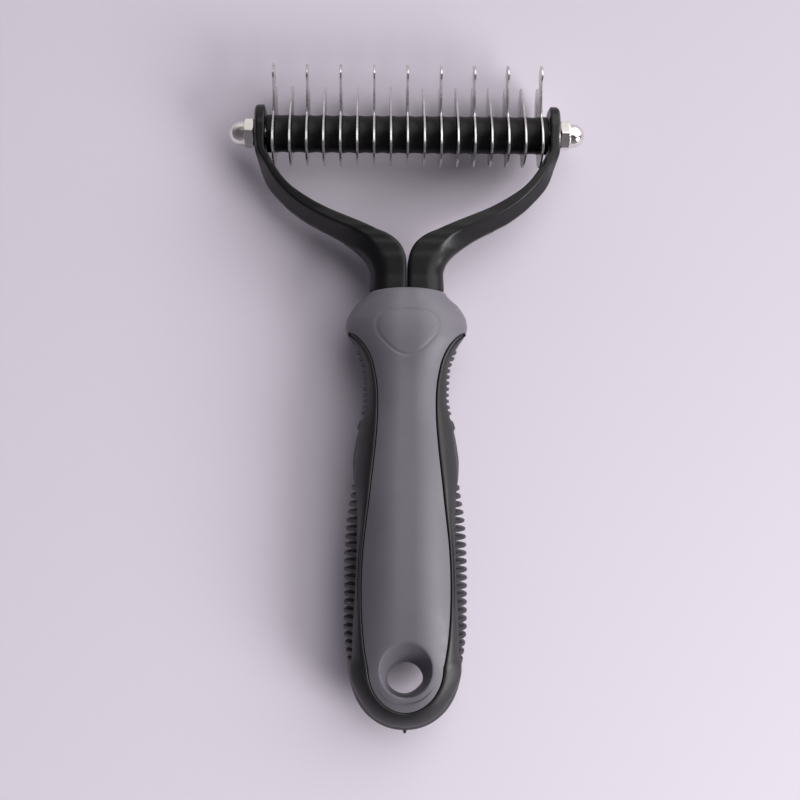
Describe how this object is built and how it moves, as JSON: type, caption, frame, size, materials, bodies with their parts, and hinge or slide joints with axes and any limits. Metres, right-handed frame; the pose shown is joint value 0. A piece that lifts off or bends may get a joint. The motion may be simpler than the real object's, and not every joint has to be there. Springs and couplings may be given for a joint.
{
  "type": "deshedding_tool",
  "caption": "Two-sided deshedding and dematting rake: steel claw blades on a black drum between the arms of a black yoke, acorn nuts, and a grey and black rubber grip with a hang hole.",
  "frame": {"origin": "middle of the resting face of the tool's box, under the grip", "axes": "+X runs along the blade shaft to the right, seen from the front; +Y from the grip toward the blade head; +Z out of the front of the grip, up when the tool lies on its back"},
  "size_m": [0.1, 0.1868, 0.024],
  "materials": {
    "black_plastic": "satin",
    "black_rubber": "matte",
    "grey_rubber": "matte",
    "spacer_plastic": "satin",
    "blade_steel": "polished",
    "nickel_plate": "polished"
  },
  "bodies": {
    "handle": {"core_frame": "black_plastic", "grip_sleeve": "grey_rubber", "side_grip_band": "black_rubber"},
    "comb_head": {"shaft": "blade_steel", "left_acorn_nut": "nickel_plate", "right_acorn_nut": "nickel_plate", "left_end_collar": "spacer_plastic", "right_end_collar": "spacer_plastic", "blade_01_long": "blade_steel", "blade_02_short": "blade_steel", "blade_03_long": "blade_steel", "blade_04_short": "blade_steel", "blade_05_long": "blade_steel", "blade_06_short": "blade_steel", "blade_07_long": "blade_steel", "blade_08_short": "blade_steel", "blade_09_long": "blade_steel", "blade_10_short": "blade_steel", "blade_11_long": "blade_steel", "blade_12_short": "blade_steel", "blade_13_long": "blade_steel", "blade_14_short": "blade_steel", "blade_15_long": "blade_steel", "blade_16_short": "blade_steel", "blade_17_long": "blade_steel", "spacer_01": "spacer_plastic", "spacer_02": "spacer_plastic", "spacer_03": "spacer_plastic", "spacer_04": "spacer_plastic", "spacer_05": "spacer_plastic", "spacer_06": "spacer_plastic", "spacer_07": "spacer_plastic", "spacer_08": "spacer_plastic", "spacer_09": "spacer_plastic", "spacer_10": "spacer_plastic", "spacer_11": "spacer_plastic", "spacer_12": "spacer_plastic", "spacer_13": "spacer_plastic", "spacer_14": "spacer_plastic", "spacer_15": "spacer_plastic", "spacer_16": "spacer_plastic"}
  },
  "joints": [
    {"name": "comb_head_swivel", "type": "hinge", "parent": "handle", "child": "comb_head", "pos_m": [0, 0.07453, 0.012], "axis": [1, 0, 0], "range_deg": [-45, 115]}
  ]
}
